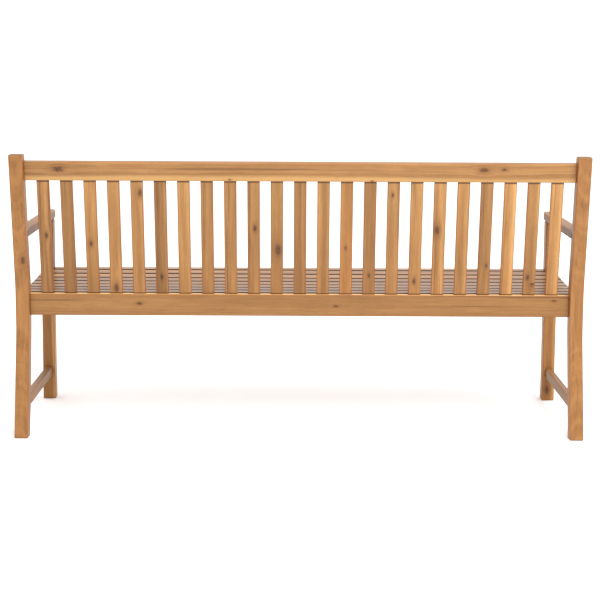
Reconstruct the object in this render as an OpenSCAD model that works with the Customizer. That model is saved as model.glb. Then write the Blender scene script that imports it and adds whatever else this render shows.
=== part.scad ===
// Garden bench for three: dog-leg rear posts, a slatted back and a dished seat.
// X runs along the bench, the back faces +Y and Z is up. The origin is on the
// ground, under the middle of the bench. Left is -X, as seen from the front.

/* [Overall] */
// Length over the legs
bench_w = 1800; // [1600:10:2000]
// Height of the rear posts
bench_h = 900; // [880:5:960]
// Clear depth between a rear post and its front leg, at seat height
leg_gap = 414; // [405:1:425]
// Width of the legs and posts, along the bench
leg_w = 43; // [38:1:50]
// Roundness of the long edges
arris = 3; // [1:0.5:4]

/* [Rear posts] */
// Front to back size of a rear post
post_d = 42; // [40:1:50]
// Angle that the back leans, in degrees
lean = 9.7; // [8:0.1:10.5]
// Angle that the heels kick back, in degrees
kick = 10.2; // [6:0.1:12]
// Height where the heel ends and the post stands upright
kick_top_z = 333; // [300:1:340]
// Height where the post starts to lean back
lean_start_z = 475; // [475:1:490]
// Half of the height over which each bend is eased
bend = 34; // [10:1:36]
// Roundness of the top corners
post_top_r = 5; // [2:0.5:8]

/* [Front legs and arms] */
// Front to back size of a front leg
front_leg_d = 41; // [40:1:50]
// Height of the underside of an arm
arm_z = 633; // [600:1:660]
// Thickness of an arm
arm_t = 28; // [22:1:34]
// Reach of an arm past its front leg
arm_overhang = 59; // [40:1:70]
// How far each side of an arm draws in towards its front end
arm_taper = 7; // [0:0.5:9]

/* [Back] */
// Number of back slats
slat_count = 23; // [15:1:23]
// Width of a back slat
back_slat_w = 39; // [36:1:42]
// Thickness of a back slat
back_slat_t = 12; // [10:1:13]
// Gap between each post and the slat next to it
end_gap = 36.5; // [30:0.5:40]
// Height of the top rail
top_rail_h = 60; // [55:1:75]
// Drop from the post top to the top rail
top_rail_drop = 20; // [12:1:40]
// Thickness of the rails between the two sides
rail_t = 22; // [20:1:23]
// Depth of the rails' rear faces inside the posts
rail_inset = 19; // [15:1:19]

/* [Seat] */
// Height of the rear seat rail's underside
seat_rail_z = 382; // [378:1:386]
// Height of the rear seat rail
seat_rail_h = 70; // [66:1:72]
// Number of seat slats
seat_slats = 8; // [8:1:8]
// Width of a seat slat
seat_slat_w = 47.4; // [45:0.2:49]
// Thickness of a seat slat
seat_slat_t = 19; // [17:0.5:22]
// Gap between seat slats
seat_gap = 10; // [8:0.5:11]
// Height of the seat where the dish is lowest
seat_low_z = 450; // [448:1:456]
// Rise of the dish towards the front legs
front_rise = 13.5; // [6:0.5:15]
// Rise of the dish towards the back
rear_rise = 3; // [1:0.5:6]
// Distance of each middle bearer from the middle of the bench
bearer_x = 293; // [250:1:350]

/* [Side frames] */
// Thickness of the side rails, stretchers and bearers
side_t = 23; // [20:1:26]
// Height of the underside of the side rails, bearers and apron
side_rail_z = 385; // [380:1:390]
// Height of the underside of the low stretchers
stretcher_z = 83; // [70:1:120]
// Height of a low stretcher
stretcher_h = 33; // [28:1:45]

/* [Hardware] */
// Diameter of the frame bolts
bolt_d = 6; // [5:1:6]
// Length of a frame bolt under its head
bolt_len = 70; // [68:1:72]
// Diameter of a barrel nut
nut_d = 10; // [9:1:10]
// Diameter of a seat screw's shank
screw_d = 4; // [3.5:0.5:4.5]
// Length of a seat screw
screw_len = 38; // [30:1:40]

/* [Hidden] */
function two(i) = i < 10 ? str("0", i) : str(i);
$fn = 48;

post_wood = [0.73, 0.53, 0.34];
rail_wood = [0.80, 0.60, 0.41];
slat_wood = [0.84, 0.63, 0.43];
steel = [0.72, 0.72, 0.74];
fit_gap = 0.15;      // glue or slip clearance round each tenon
over = 1;            // how far a cutter runs past a face

// Distances forward of the heels, which stand on the ground at zero
function ramp(z, knee) =
    z < knee - bend ? 0 :
    z > knee + bend ? z - knee :
    pow(z - knee + bend, 2) / (4 * bend);
function forward(z) = tan(kick) * (z - ramp(z, kick_top_z)) - tan(lean) * ramp(z, lean_start_z);
mid_forward = tan(kick) * kick_top_z;
post_front = mid_forward + post_d;
leg_back = post_front + leg_gap;
leg_front = leg_back + front_leg_d;
arm_front = leg_front + arm_overhang;
heel_y = (arm_front + min(0, forward(bench_h))) / 2;
function y_of(v) = heel_y - v;

// Across the bench
inner_x = bench_w / 2 - leg_w;
post_x = bench_w / 2 - leg_w / 2;

// The leaning back, whose frame starts on the rear face of the posts
function lean_y(y, z) = y_of(mid_forward) + y * cos(lean) + z * sin(lean);
function lean_z(y, z) = lean_start_z - y * sin(lean) + z * cos(lean);
function into_lean(y, z) = (z - lean_start_z + y * sin(lean)) / cos(lean);
rail_y = -rail_inset - rail_t / 2;
slat_y = -rail_inset - 2 - back_slat_t / 2;
top_rail_hi = into_lean(-rail_inset - rail_t, bench_h - top_rail_drop);
top_rail_lo = top_rail_hi - top_rail_h;
top_rail_mid = top_rail_hi - top_rail_h / 2;
seat_rail_top = seat_rail_z + seat_rail_h;
slat_foot = into_lean(slat_y, seat_rail_top);
slat_pitch = (2 * (inner_x - end_gap) - back_slat_w) / (slat_count - 1);
function slat_x(i) = (i - (slat_count + 1) / 2) * slat_pitch;
back_tenon = [back_slat_w - 8, 8, 12];

// The rails that cross the bench at seat height
seat_rail_y = y_of(mid_forward + rail_inset + rail_t / 2);
seat_rail_front = mid_forward + rail_inset + rail_t;
seat_rail_mid = seat_rail_z + seat_rail_h / 2;
apron_v = leg_back + front_leg_d / 2;
apron_back = apron_v - rail_t / 2;
front_slat_z = seat_low_z + front_rise;
apron_top = front_slat_z - seat_slat_t;
apron_mid = (side_rail_z + apron_top) / 2;

// The dish of the seat, lowest a little behind its middle
low_v = post_front + 0.42 * leg_gap;
front_bow = front_rise / pow(leg_back - low_v, 2);
rear_bow = rear_rise / pow(low_v - post_front, 2);
function bow(v) = v > low_v ? front_bow : rear_bow;
function seat_z(v) = seat_low_z + bow(v) * pow(v - low_v, 2);
function seat_tilt(v) = -atan(2 * bow(v) * (v - low_v));
seat_pitch = seat_slat_w + seat_gap;
front_slat_v = leg_back + seat_slat_w / 2 + 1;
function seat_v(i) = front_slat_v - (i - 1) * seat_pitch;
function slat_top_z(i) = i == 1 ? front_slat_z : seat_z(seat_v(i));
function slat_tilt(i) = i == 1 ? 0 : seat_tilt(seat_v(i));
function slat_point(i, y, z) = [
    y_of(seat_v(i)) + y * cos(slat_tilt(i)) - z * sin(slat_tilt(i)),
    slat_top_z(i) + y * sin(slat_tilt(i)) + z * cos(slat_tilt(i))];

// Tenons: thickness and height
side_tenon = [10, 24, 16];
stretcher_tenon = [10, 19, 18];
arm_tenon = [25, 12, 15];
leg_tenon = [27, 12, 16];
bearer_tenon = [12, 26, 10];

// Frame bolts and dowels: where each one crosses from a leg into a rail
nut_depth = 25;
nut_len = 14;
sink_d = 20;
sink_depth = 8;
washer_t = 1.6;
dowel_d = 8;
dowel_in_leg = 12;
dowel_in_rail = 17;
bolt_spots = [
    [lean_y(rail_y, top_rail_mid), lean_z(rail_y, top_rail_mid), lean, -1],
    [seat_rail_y, seat_rail_mid - 20, 0, -1],
    [seat_rail_y, seat_rail_mid + 20, 0, -1],
    [y_of(apron_v), apron_mid - 15, 0, 1],
    [y_of(apron_v), apron_mid + 15, 0, 1]];
dowel_spots = [
    [lean_y(rail_y, top_rail_mid - 18), lean_z(rail_y, top_rail_mid - 18)],
    [lean_y(rail_y, top_rail_mid + 18), lean_z(rail_y, top_rail_mid + 18)],
    [seat_rail_y, seat_rail_mid],
    [y_of(apron_v), apron_mid]];

// Seat screws: depth of the flat of each head, and distances from the middle of the bench, on each side
head_sink = 0.7;
function screw_rows(i) = i == 1 ? [bearer_x, inner_x - 77] : [bearer_x, post_x];

// ---- shapes shared by several pieces ----

function corner(x, y, r, turn) =
    [for (i = [0:4]) [x + r * cos(turn + i * 22.5), y + r * sin(turn + i * 22.5)]];

module soft_rect(w, h, r = arris) {
    x = w / 2 - r;
    y = h / 2 - r;
    polygon(concat(corner(x, y, r, 0), corner(-x, y, r, 90), corner(-x, -y, r, 180), corner(x, -y, r, 270)));
}

module along_x(len) {
    rotate([90, 0, 90]) linear_extrude(len, center = true) children();
}

module along_y(len) {
    rotate([90, 0, 0]) linear_extrude(len, center = true) children();
}

module box(from, to, grow = 0) {
    translate([for (a = from) a - grow]) cube([for (k = [0:2]) to[k] - from[k] + 2 * grow]);
}

module lean_frame() {
    translate([0, lean_y(0, 0), lean_z(0, 0)]) rotate([-lean, 0, 0]) children();
}

module at_slat(i) {
    translate([0, y_of(seat_v(i)), slat_top_z(i)]) rotate([slat_tilt(i), 0, 0]) children();
}

module at_spot(s) {
    translate([0, s[0], s[1]]) rotate([-s[2], 0, 0]) children();
}

module both_sides() {
    children();
    mirror([1, 0, 0]) children();
}

module rod(d, from, to) {
    translate([from, 0, 0]) rotate([0, 90, 0]) cylinder(d = d, h = to - from);
}

// ---- tenons, drawn on the right hand side ----

// One tenon at each end of a rail, size = [thickness, height, length], rooted in the rail
module tenon_pair(x, size, rear_y, front_y, z, grow) {
    t = size[0] / 2;
    root = 8;
    box([x - t, rear_y - root, z], [x + t, rear_y + size[2], z + size[1]], grow);
    box([x - t, front_y - size[2], z], [x + t, front_y + root, z + size[1]], grow);
}

module side_rail_tenons(grow = 0) {
    z = side_rail_z + 19;
    tenon_pair(post_x, side_tenon, y_of(post_front), y_of(leg_back), z, grow);
}

module stretcher_tenons(grow = 0) {
    z = stretcher_z + (stretcher_h - stretcher_tenon[1]) / 2;
    rear_y = y_of(forward(stretcher_z + stretcher_h) + post_d);
    tenon_pair(post_x, stretcher_tenon, rear_y, y_of(leg_back), z, grow);
}

module arm_rear_tenon(grow = 0) {
    w = arm_tenon[0] / 2;
    z = arm_z + (arm_t - arm_tenon[1]) / 2;
    y = y_of(forward(arm_z + arm_t) + post_d);
    box([post_x - w, y - 12, z], [post_x + w, y + arm_tenon[2], z + arm_tenon[1]], grow);
}

module leg_top_tenon(grow = 0) {
    w = leg_tenon[0] / 2;
    d = leg_tenon[1] / 2;
    y = y_of(apron_v);
    box([post_x - w, y - d, arm_z - 5], [post_x + w, y + d, arm_z + leg_tenon[2]], grow);
}

module bearer_tenons(grow = 0) {
    z = side_rail_z + 13;
    tenon_pair(bearer_x, bearer_tenon, y_of(seat_rail_front), y_of(apron_back), z, grow);
}

module back_slat_tenons(i, grow = 0) {
    x = slat_x(i);
    w = back_tenon[0] / 2;
    t = back_tenon[1] / 2;
    lean_frame() {
        box([x - w, slat_y - t, slat_foot - back_tenon[2]], [x + w, slat_y + t, slat_foot + 6], grow);
        box([x - w, slat_y - t, top_rail_lo - 6], [x + w, slat_y + t, top_rail_lo + back_tenon[2]], grow);
    }
}

// ---- ways for the hardware, on the right hand side ----

module bolt_ways() {
    for (s = bolt_spots) at_spot(s) {
        rod(bolt_d + 0.6, inner_x - nut_depth - 11, bench_w / 2 + over);
        rod(sink_d, bench_w / 2 - sink_depth, bench_w / 2 + over);
    }
}

module nut_ways() {
    past_nut = nut_len / 2 + 0.5;
    way = past_nut + rail_t / 2 + over;
    for (s = bolt_spots) at_spot(s) translate([inner_x - nut_depth, 0, 0]) rotate([90, 0, 0])
        translate([0, 0, s[3] < 0 ? -past_nut : past_nut - way]) cylinder(d = nut_d + 0.2, h = way);
}

module dowel_ways() {
    for (s = dowel_spots) translate([0, s[0], s[1]])
        rod(dowel_d + 0.2, inner_x - dowel_in_rail - over, inner_x + dowel_in_leg + over);
}

module screw_ways(i) {
    at_slat(i) for (x = screw_rows(i)) for (side = [-1, 1]) translate([side * x, 0, 0]) {
        translate([0, 0, -screw_len - over]) cylinder(d = screw_d + 0.2, h = screw_len + 2 * over);
        translate([0, 0, -head_sink - screw_d / 2])
            cylinder(d1 = screw_d + 0.2, d2 = 2 * screw_d + 0.4, h = screw_d / 2);
        translate([0, 0, -head_sink - 0.01]) cylinder(d = 2 * screw_d + 0.4, h = head_sink + over);
    }
}

// ---- side frames ----

module post_blank() {
    knees = [for (knee = [kick_top_z, lean_start_z]) for (k = [-4:4]) knee + k * bend / 4];
    heights = concat([0], knees, [bench_h]);
    last = len(heights) - 1;
    rear_face = [for (z = heights) [y_of(forward(z)), z]];
    front_face = [for (k = [last:-1:0]) [y_of(forward(heights[k]) + post_d), heights[k]]];
    translate([post_x, 0, 0]) along_x(leg_w) polygon(concat(rear_face, front_face));
}

module rear_post_right() {
    color(post_wood) difference() {
        intersection() {
            post_blank();
            translate([post_x, 0, bench_h - 100]) along_y(4 * leg_gap) union() {
                soft_rect(leg_w, 200, post_top_r);
                translate([-leg_w / 2, -bench_h]) square([leg_w, bench_h]);
            }
        }
        side_rail_tenons(fit_gap);
        stretcher_tenons(fit_gap);
        arm_rear_tenon(fit_gap);
        bolt_ways();
        dowel_ways();
    }
}

module rear_post_left() mirror([1, 0, 0]) rear_post_right();

module front_leg_right() {
    color(post_wood) difference() {
        union() {
            translate([post_x, y_of(apron_v), 0]) linear_extrude(arm_z) soft_rect(leg_w, front_leg_d);
            leg_top_tenon();
        }
        side_rail_tenons(fit_gap);
        stretcher_tenons(fit_gap);
        bolt_ways();
        dowel_ways();
    }
}

module front_leg_left() mirror([1, 0, 0]) front_leg_right();

// Plan of an arm, pointing to -Y from its front end: each side draws in along a parabola
module arm_plan() {
    reach = arm_overhang + front_leg_d / 2;
    half = leg_w / 2;
    r = 5;
    end = half - arm_taper - r;
    side = [for (i = [0:8]) [half - arm_taper * pow(1 - i / 8, 2), r + (reach - r) * i / 8]];
    left = [for (i = [8:-1:0]) [-side[i][0], side[i][1]]];
    rear = [[half, 2 * leg_gap], [-half, 2 * leg_gap]];
    polygon(concat(side, rear, left, corner(-end, r, r, 180), corner(end, r, r, 270)));
}

module arm_right() {
    arm_rear = forward(arm_z) + post_d - 8;
    color(rail_wood) difference() {
        union() {
            difference() {
                intersection() {
                    translate([post_x, y_of((arm_rear + arm_front) / 2), arm_z + arm_t / 2])
                        along_y(arm_front - arm_rear) soft_rect(leg_w, arm_t, 6);
                    translate([post_x, y_of(arm_front), arm_z - over])
                        linear_extrude(arm_t + 2 * over) arm_plan();
                }
                post_blank();
            }
            arm_rear_tenon();
        }
        leg_top_tenon(fit_gap);
    }
}

module arm_left() mirror([1, 0, 0]) arm_right();

module dished_rail(x, rear_v, front_v) {
    top = [for (i = [2:seat_slats]) for (e = [-1, 1]) slat_point(i, e * seat_slat_w / 2, -seat_slat_t)];
    translate([x, 0, 0]) along_x(side_t) polygon(concat(
        [[y_of(rear_v), top[len(top) - 1][1]], [y_of(rear_v), side_rail_z]],
        [[y_of(front_v), side_rail_z], [y_of(front_v), apron_top]], top));
}

module side_rail_right() {
    color(rail_wood) difference() {
        union() {
            dished_rail(post_x, post_front, leg_back);
            side_rail_tenons();
        }
        for (i = [2:seat_slats]) screw_ways(i);
    }
}

module side_rail_left() mirror([1, 0, 0]) side_rail_right();

module stretcher_right() {
    rear_v = forward(stretcher_z) + post_d - 8;
    color(rail_wood) union() {
        difference() {
            translate([post_x, y_of((rear_v + leg_back) / 2), stretcher_z + stretcher_h / 2])
                along_y(leg_back - rear_v) soft_rect(side_t, stretcher_h);
            post_blank();
        }
        stretcher_tenons();
    }
}

module stretcher_left() mirror([1, 0, 0]) stretcher_right();

// ---- rails and bearers ----

module rear_seat_rail() {
    color(rail_wood) difference() {
        translate([0, seat_rail_y, seat_rail_mid]) along_x(2 * inner_x) soft_rect(rail_t, seat_rail_h);
        for (i = [1:slat_count]) back_slat_tenons(i, fit_gap);
        both_sides() {
            bearer_tenons(fit_gap);
            bolt_ways();
            nut_ways();
            dowel_ways();
        }
    }
}

module top_rail() {
    color(rail_wood) difference() {
        lean_frame() translate([0, rail_y, top_rail_mid]) along_x(2 * inner_x) soft_rect(rail_t, top_rail_h);
        for (i = [1:slat_count]) back_slat_tenons(i, fit_gap);
        both_sides() {
            bolt_ways();
            nut_ways();
            dowel_ways();
        }
    }
}

module front_apron() {
    color(rail_wood) difference() {
        translate([0, y_of(apron_v), apron_mid]) along_x(2 * inner_x)
            soft_rect(rail_t, apron_top - side_rail_z, 1.5);
        screw_ways(1);
        both_sides() {
            bearer_tenons(fit_gap);
            bolt_ways();
            nut_ways();
            dowel_ways();
        }
    }
}

module bearer_right() {
    color(rail_wood) difference() {
        union() {
            dished_rail(bearer_x, seat_rail_front, apron_back);
            bearer_tenons();
        }
        for (i = [2:seat_slats]) screw_ways(i);
    }
}

module bearer_left() mirror([1, 0, 0]) bearer_right();

// ---- slats ----

module seat_slat(i) {
    half = i == 1 ? inner_x - 1 : bench_w / 2 - 7;
    color(slat_wood) difference() {
        at_slat(i) translate([0, 0, -seat_slat_t / 2]) along_x(2 * half) soft_rect(seat_slat_w, seat_slat_t);
        screw_ways(i);
    }
}

module back_slat(i) {
    foot = slat_foot - 2;
    color(slat_wood) union() {
        difference() {
            lean_frame() translate([slat_x(i), slat_y, foot]) linear_extrude(top_rail_lo - foot)
                soft_rect(back_slat_w, back_slat_t, 2);
            box([-bench_w, y_of(leg_back), 0], [bench_w, heel_y, seat_rail_top]);
        }
        back_slat_tenons(i);
    }
}

// ---- hardware ----

module frame_bolts() {
    head_x = bench_w / 2 - sink_depth + washer_t;
    color(steel) both_sides() for (s = bolt_spots) at_spot(s) difference() {
        union() {
            rod(bolt_d, head_x - bolt_len, head_x + over);
            rod(2 * bolt_d, head_x, head_x + 5);
        }
        translate([head_x + 2, 0, 0]) rotate([0, 90, 0]) cylinder(d = bolt_d, h = 4, $fn = 6);
    }
}

module bolt_washers() {
    x = bench_w / 2 - sink_depth;
    color(steel) both_sides() for (s = bolt_spots) at_spot(s) difference() {
        rod(18, x, x + washer_t);
        rod(bolt_d + 0.4, x - over, x + washer_t + over);
    }
}

module barrel_nuts() {
    color(steel) both_sides() for (s = bolt_spots) at_spot(s) difference() {
        translate([inner_x - nut_depth, 0, 0]) rotate([90, 0, 0])
            cylinder(d = nut_d, h = nut_len, center = true);
        rod(bolt_d + 0.1, inner_x - 2 * nut_depth, inner_x);
        translate([inner_x - nut_depth, s[3] * nut_len / 2, 0]) cube([nut_d + 2, 2, 1.4], center = true);
    }
}

module frame_dowels() {
    color(slat_wood) both_sides() for (s = dowel_spots) translate([0, s[0], s[1]])
        rod(dowel_d, inner_x - dowel_in_rail, inner_x + dowel_in_leg);
}

module seat_screws() {
    color(steel) for (i = [1:seat_slats]) at_slat(i)
        for (x = screw_rows(i)) for (side = [-1, 1]) translate([side * x, 0, 0]) difference() {
            union() {
                translate([0, 0, -screw_len]) cylinder(d = screw_d, h = screw_len - 1);
                translate([0, 0, -head_sink - screw_d / 2 + 0.1])
                    cylinder(d1 = screw_d, d2 = 2 * screw_d, h = screw_d / 2);
                translate([0, 0, -head_sink + 0.1]) cylinder(d = 2 * screw_d, h = head_sink - 0.2);
            }
            for (turn = [0, 90]) rotate([0, 0, turn]) cube([0.45 * 2 * screw_d, 0.9, 3], center = true);
        }
}

rear_post_left();
rear_post_right();
front_leg_left();
front_leg_right();
arm_left();
arm_right();
side_rail_left();
side_rail_right();
stretcher_left();
stretcher_right();
rear_seat_rail();
top_rail();
front_apron();
bearer_left();
bearer_right();
for (i = [1:seat_slats]) seat_slat(i);
for (i = [1:slat_count]) back_slat(i);
frame_bolts();
bolt_washers();
barrel_nuts();
frame_dowels();
seat_screws();
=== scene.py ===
import math
import bpy
import numpy as np
from mathutils import Matrix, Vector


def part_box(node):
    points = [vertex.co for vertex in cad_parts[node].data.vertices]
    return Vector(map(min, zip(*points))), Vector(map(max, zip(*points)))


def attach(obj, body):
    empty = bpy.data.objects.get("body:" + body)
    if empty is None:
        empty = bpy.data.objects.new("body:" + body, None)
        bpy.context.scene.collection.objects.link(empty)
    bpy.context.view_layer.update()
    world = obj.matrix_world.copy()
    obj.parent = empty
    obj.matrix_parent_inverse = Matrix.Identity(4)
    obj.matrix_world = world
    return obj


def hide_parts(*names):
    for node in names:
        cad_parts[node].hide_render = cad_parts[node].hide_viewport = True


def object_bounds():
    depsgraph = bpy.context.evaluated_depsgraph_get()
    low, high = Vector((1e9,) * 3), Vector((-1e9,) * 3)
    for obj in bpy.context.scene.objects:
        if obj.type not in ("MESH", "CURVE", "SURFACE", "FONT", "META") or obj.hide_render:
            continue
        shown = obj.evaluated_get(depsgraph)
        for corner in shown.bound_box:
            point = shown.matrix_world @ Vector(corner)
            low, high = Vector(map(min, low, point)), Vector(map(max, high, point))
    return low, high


# Garden bench for three in oiled acacia. Every board is a numpy surface with sanded arrises,
# laid where the frame has it, and the bolts, nuts, washers and screws keep their own meshes.
# Metres throughout. X runs along the bench, the back faces +Y and Z is up.

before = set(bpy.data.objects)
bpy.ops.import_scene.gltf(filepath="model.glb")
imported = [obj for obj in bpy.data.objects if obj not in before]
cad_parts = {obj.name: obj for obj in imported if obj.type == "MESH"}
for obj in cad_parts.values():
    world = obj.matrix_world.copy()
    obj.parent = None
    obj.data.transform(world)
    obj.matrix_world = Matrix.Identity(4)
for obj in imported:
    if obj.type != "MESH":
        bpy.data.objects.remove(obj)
cadLow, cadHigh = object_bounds()
print("frame loaded:", len(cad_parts), "nodes")

xAxis = np.array([1.0, 0.0, 0.0])
yAxis = np.array([0.0, 1.0, 0.0])
zAxis = np.array([0.0, 0.0, 1.0])


def corners(node):
    # Lowest and highest corner of a frame node, as arrays
    low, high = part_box(node)
    return np.array(low), np.array(high)


# Board surfaces as numpy arrays

def sway(distance, seed, wave=0.35):
    # Slow seeded wobble from about -1 to 1: three sines of the distance, each shorter and weaker
    draw = np.random.default_rng(seed)
    phase = draw.uniform(0, 2 * math.pi, 3)
    turns = 2 * math.pi / wave * np.array([1.0, 2.3, 5.1])
    weights = np.array([0.55, 0.3, 0.15])
    return (weights * np.sin(np.asarray(distance)[..., None] * turns + phase)).sum(-1)


def stations(length, step, startRound, endRound, quarter=5):
    # Distances along a board and how far each section is drawn in. A rounded end follows a quarter
    # circle: distance = radius * (1 - cos a), draw-in = radius * (1 - sin a)
    turn = np.linspace(0, math.pi / 2, quarter)
    count = max(2, int(round((length - startRound - endRound) / step)))
    middle = np.linspace(startRound, length - endRound, count + 1)[1:-1]
    first = startRound * (1 - np.cos(turn))
    last = length - endRound * (1 - np.cos(turn[::-1]))
    along = np.concatenate([first, middle, last])
    drawIn = np.concatenate([
        startRound * (1 - np.sin(turn)), np.zeros(len(middle)), endRound * (1 - np.sin(turn[::-1]))])
    return along, drawIn


def carried(centres, wideAxis, thickAxis, halfWide, halfThick, arris, arc=4):
    # Rounded rectangle carried along the centres. A point is the centre plus, on each axis,
    # sign * (half size - arris) + arris * (cos or sin of the corner's angle)
    steps = np.linspace(0, math.pi / 2, arc + 1)
    angle = np.concatenate([steps + k * math.pi / 2 for k in range(4)])
    signWide = np.repeat([1, -1, -1, 1], arc + 1)
    signThick = np.repeat([1, 1, -1, -1], arc + 1)
    count = len(centres)
    halfWide = np.broadcast_to(halfWide, count)[:, None]
    halfThick = np.broadcast_to(halfThick, count)[:, None]
    arris = np.broadcast_to(arris, count)[:, None]
    arris = np.minimum(arris, 0.9 * np.minimum(halfWide, halfThick))
    a = signWide * (halfWide - arris) + arris * np.cos(angle)
    b = signThick * (halfThick - arris) + arris * np.sin(angle)
    points = centres[:, None, :] + a[..., None] * wideAxis + b[..., None] * thickAxis
    return closedTube(points)


def turned(centres, radii, axisA, axisB, sides=28):
    # Circle carried along the centres: centre + radius * (cos a * axisA + sin a * axisB)
    angle = np.linspace(0, 2 * math.pi, sides, endpoint=False)
    circle = np.cos(angle)[:, None] * axisA + np.sin(angle)[:, None] * axisB
    points = np.asarray(centres, float)[:, None, :] + np.asarray(radii, float)[:, None, None] * circle
    return closedTube(points)


def closedTube(points):
    # Quads between neighbouring rings, with a flat cap on each end ring, facing outwards
    rings, sides = points.shape[:2]
    index = np.arange(rings * sides).reshape(rings, sides)
    near, far = index[:-1], index[1:]
    quads = np.stack([near, np.roll(near, -1, 1), np.roll(far, -1, 1), far], -1).reshape(-1, 4)
    vertices = points.reshape(-1, 3)
    a, b, c, d = (vertices[quads[:, k]] for k in range(4))
    middle = vertices.mean(0)
    volume = (np.cross(b - a, c - a) * (a - middle)).sum() + (np.cross(c - a, d - a) * (a - middle)).sum()
    faces = quads.tolist() + [index[0, ::-1].tolist(), index[-1].tolist()]
    if volume < 0:
        faces = [face[::-1] for face in faces]
    return vertices, faces


def meshObject(name, vertices, faces):
    # Object at the origin with the points and faces as they are
    mesh = bpy.data.meshes.new(name)
    mesh.from_pydata(vertices.tolist(), [], faces)
    mesh.validate()
    made = bpy.data.objects.new(name, mesh)
    bpy.context.scene.collection.objects.link(made)
    return made


def cutHoles(piece, holes):
    # One boolean takes all the holes out of a board
    allVertices, allFaces, start = [], [], 0
    for vertices, faces in holes:
        allVertices.append(vertices)
        allFaces += [[start + k for k in face] for face in faces]
        start += len(vertices)
    cutter = meshObject("cutter", np.concatenate(allVertices), allFaces)
    cut = piece.modifiers.new("holes", "BOOLEAN")
    cut.operation = "DIFFERENCE"
    cut.solver = "EXACT"
    cut.object = cutter
    graph = bpy.context.evaluated_depsgraph_get()
    result = bpy.data.meshes.new_from_object(piece.evaluated_get(graph))
    piece.modifiers.clear()
    piece.data = result
    bpy.data.objects.remove(cutter)


# What the grain needs to know about each board

def writeVectors(mesh, name, values, domain="POINT"):
    # One vector for each point, or for each corner of the faces
    layer = mesh.attributes.new(name, "FLOAT_VECTOR", domain)
    layer.data.foreach_set("vector", np.ascontiguousarray(values, np.float32).ravel())


def stack(*columns):
    # Columns side by side, with single numbers repeated
    return np.stack(np.broadcast_arrays(*columns), -1)


grainSettings = {
    "shiftAlong": 40, "shiftAcross": 0.4,         # each board's own place in the noise, in metres
    # A board with a shaded top is painted darker from here up, as painted shade under the arm
    "darkFrom": 0.66, "darkOver": 0.08,           # share of the length where a darker top starts and ends
    "pithAside": 0.02, "pithDeep": (0.03, 0.12),  # where the middle of the tree lay, in metres
    "ringShift": 40,                              # each board's own place among the growth bands
    "noKnot": (9.0, 9.0, 0.002),                  # far away, for boards with no knots
}


def markGrain(piece, measure, board):
    # grainCo: place in the plank that the board was sawn from. sideCo: place across, through and
    # along the board from its middle. sizeCo: its half sizes. toneCo: shade, redness, sapwood.
    # pithCo: where the middle of the tree lay. knotCo: way to the nearest knot, and its radius.
    mesh = piece.data
    points = np.empty(len(mesh.vertices) * 3)
    mesh.vertices.foreach_get("co", points)
    points = points.reshape(-1, 3)
    along, across, thick, sideA, sideB, halfA, halfB, length = measure(points)
    draw = np.random.default_rng(board["seed"])
    shift = draw.uniform(-1, 1, 3)
    shift = shift * [grainSettings["shiftAlong"], grainSettings["shiftAcross"], grainSettings["shiftAcross"]]
    writeVectors(mesh, "grainCo", stack(along + shift[0], across + shift[1], thick + shift[2]))
    writeVectors(mesh, "plankCo", stack(along, across, thick))
    writeVectors(mesh, "sideCo", stack(sideA, sideB, along - length / 2))
    writeVectors(mesh, "sizeCo", stack(halfA, halfB, np.full(len(points), length / 2)))
    share = along / length
    # Painted shade: the top of the right front leg is painted darker for the shade under its arm
    fade = np.clip((share - grainSettings["darkFrom"]) / grainSettings["darkOver"], 0, 1)
    shaded = 1 - board["darkTop"] * fade
    # Painted shade: a back slat is painted paler at its top and darker towards its foot for the shade near
    # the seat, by each slat's own amount
    paler = 1 + board["paleTop"] * (share - 0.5)
    cooler = board["red"] - board["coolTop"] * share
    tone = stack(board["tone"] * shaded * paler, cooler, board["sap"])
    writeVectors(mesh, "toneCo", tone)
    aside = grainSettings["pithAside"]
    pithWay = draw.uniform(-aside, aside) if board["pith"] is None else board["pith"]
    pithDeep = draw.choice([-1, 1]) * draw.uniform(*grainSettings["pithDeep"])
    ringShift = draw.uniform(0, grainSettings["ringShift"])
    writeVectors(mesh, "pithCo", stack(np.full(len(points), pithWay), pithDeep, ringShift))
    markKnots(mesh, along, across, length, board)


def markKnots(mesh, along, across, length, board):
    # Each face takes the knot nearest to its own middle, and its corners store the way to that knot
    corner = np.empty(len(mesh.loops), np.int64)
    mesh.loops.foreach_get("vertex_index", corner)
    total = np.empty(len(mesh.polygons), np.int64)
    mesh.polygons.foreach_get("loop_total", total)
    face = np.repeat(np.arange(len(total)), total)
    sumAlong = np.bincount(face, along[corner]) / total
    sumAcross = np.bincount(face, across[corner]) / total
    knots = np.array([[share * length, side, radius] for share, side, radius in board["knots"]]
                     or [grainSettings["noKnot"]])
    reach = np.hypot(sumAlong[:, None] - knots[:, 0], sumAcross[:, None] - knots[:, 1]) / knots[:, 2]
    pick = knots[reach.argmin(1)][face]
    way = stack(along[corner] - pick[:, 0], across[corner] - pick[:, 1], pick[:, 2])
    writeVectors(mesh, "knotCo", way, "CORNER")


def straightMeasure(origin, alongAxis, wideAxis, thickAxis, length, halfWide, halfThick):
    # Place along, across and through a straight board: the way from its start, on its three axes
    def measure(points):
        way = points - origin
        along, across, thick = way @ alongAxis, way @ wideAxis, way @ thickAxis
        half = np.ones(len(points))
        return along, across, thick, across, thick, half * halfWide, half * halfThick, length
    return measure


# Shades: one letter for each board

shades = {
    "v": {"tone": 1.42, "red": -0.02, "sap": 0.30},
    "w": {"tone": 1.30, "red": -0.02, "sap": 0.30},
    "p": {"tone": 1.14, "red": -0.01, "sap": 0.12},
    "q": {"tone": 1.05, "red": 0.00, "sap": 0.00},
    "m": {"tone": 0.96, "red": 0.00, "sap": 0.00},
    "e": {"tone": 0.87, "red": 0.01, "sap": 0.00},
    "d": {"tone": 0.74, "red": 0.02, "sap": 0.00},
    "r": {"tone": 1.09, "red": 0.08, "sap": 0.00},
}


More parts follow.
